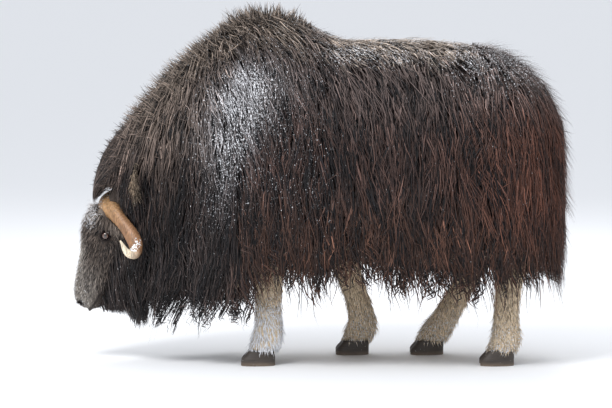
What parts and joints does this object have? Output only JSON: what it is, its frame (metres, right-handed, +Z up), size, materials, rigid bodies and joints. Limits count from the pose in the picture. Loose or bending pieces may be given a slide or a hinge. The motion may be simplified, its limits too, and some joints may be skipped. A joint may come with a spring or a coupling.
{
  "type": "muskox figure",
  "caption": "Life-size standing muskox with a lowered head, hooked horns, a shaggy skirt of long dark hair, pale legs and cloven hooves, as a still display model.",
  "frame": {"origin": "on the floor, under the middle of the animal's bounding box", "axes": "+Z up, the animal faces -X, its left side is -Y"},
  "size_m": [1.938, 0.7582, 1.3653],
  "materials": {
    "dark_coat": "long dark brown guard hair",
    "face_hair": "short grey-brown hair",
    "leg_hair": "short pale hair",
    "horn": "smooth tan horn",
    "hoof": "dull dark horn",
    "eye": "wet dark eye"
  },
  "bodies": {
    "root": {"head": "face_hair", "ear_left": "face_hair", "ear_right": "face_hair", "neck": "dark_coat", "throat": "dark_coat", "shoulders": "dark_coat", "torso": "dark_coat", "rump": "dark_coat", "tail": "dark_coat", "leg_front_left": "leg_hair", "leg_front_right": "leg_hair", "leg_hind_left": "leg_hair", "leg_hind_right": "leg_hair", "hoof_front_left_outer": "hoof", "hoof_front_left_inner": "hoof", "hoof_front_right_outer": "hoof", "hoof_front_right_inner": "hoof", "hoof_hind_left_outer": "hoof", "hoof_hind_left_inner": "hoof", "hoof_hind_right_outer": "hoof", "hoof_hind_right_inner": "hoof", "horn_left": "horn", "horn_right": "horn", "eye_left": "eye", "eye_right": "eye"}
  },
  "joints": []
}
